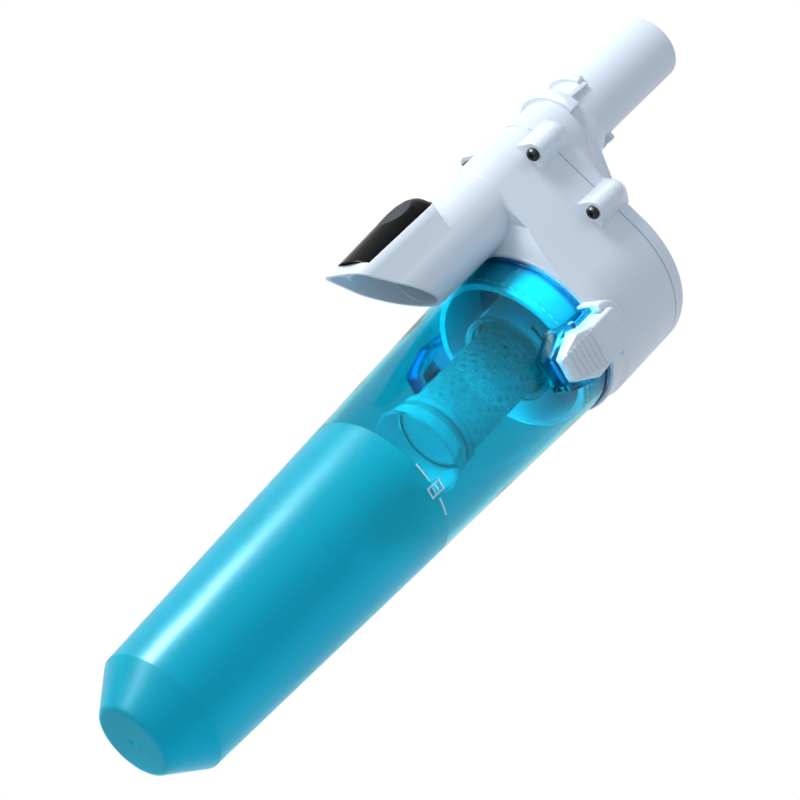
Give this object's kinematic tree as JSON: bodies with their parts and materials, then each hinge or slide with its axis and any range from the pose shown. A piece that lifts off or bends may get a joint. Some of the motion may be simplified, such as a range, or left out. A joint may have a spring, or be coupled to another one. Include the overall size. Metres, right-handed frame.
{
  "type": "vacuum cyclone separator",
  "caption": "Cyclone dust separator for a stick vacuum: pear-shaped head with outlet spigot and inlet socket, clear tapered dust case held by release levers, twist-out filter.",
  "frame": {"origin": "centre of the outlet spigot's open end", "axes": "+Z along the spigot, out of its open end; +X from the pipe line towards the dust case's axis"},
  "size_m": [0.1309, 0.1142, 0.416],
  "materials": {
    "white_abs": "fine satin moulded",
    "teal_case": "see-through teal, frosted below the fill line",
    "filter_plastic": "see-through teal",
    "black_gloss": "glossy moulded",
    "silicone_seal": "soft moulded",
    "spring_steel": "bright drawn",
    "black_screw": "black oxide"
  },
  "bodies": {
    "head": {"inlet_housing": "white_abs", "outlet_cover": "white_abs", "vortex_plate": "white_abs", "housing_seal": "silicone_seal", "housing_screws": "black_screw", "case_seal": "silicone_seal", "pipe_lock_pin": "spring_steel", "pipe_lock_spring": "spring_steel"},
    "dust_case": {"dust_case": "teal_case", "release_pin_front": "spring_steel", "release_pin_rear": "spring_steel", "release_spring_front": "spring_steel", "release_spring_rear": "spring_steel"},
    "lever_front": {"release_lever_front": "white_abs"},
    "lever_rear": {"release_lever_rear": "white_abs"},
    "lock_button": {"pipe_lock_button": "black_gloss"},
    "filter": {"filter_tube": "filter_plastic", "filter_seal": "silicone_seal", "filter_skirt": "filter_plastic"}
  },
  "joints": [
    {"name": "case_slide", "type": "slide", "parent": "head", "child": "dust_case", "axis": [0, 0, -1], "range_m": [0, 0.25]},
    {"name": "front_release", "type": "hinge", "parent": "dust_case", "child": "lever_front", "pos_m": [0.0604, -0.047, -0.162], "axis": [1, 0, 0], "range_deg": [0, 8], "stiffness_Nm_per_rad": 0.5, "deforming": ["release_spring_front"]},
    {"name": "rear_release", "type": "hinge", "parent": "dust_case", "child": "lever_rear", "pos_m": [0.0604, 0.047, -0.162], "axis": [-1, 0, 0], "range_deg": [0, 8], "stiffness_Nm_per_rad": 0.5, "deforming": ["release_spring_rear"]},
    {"name": "pipe_lock", "type": "hinge", "parent": "head", "child": "lock_button", "pos_m": [-0.0186, 0, -0.1895], "axis": [0, 1, 0], "range_deg": [0, 4], "stiffness_Nm_per_rad": 0.5, "deforming": ["pipe_lock_spring"]},
    {"name": "filter_twist", "type": "hinge", "parent": "head", "child": "filter", "pos_m": [0.0604, 0, -0.162], "axis": [0, 0, 1], "range_deg": [0, 30]}
  ]
}
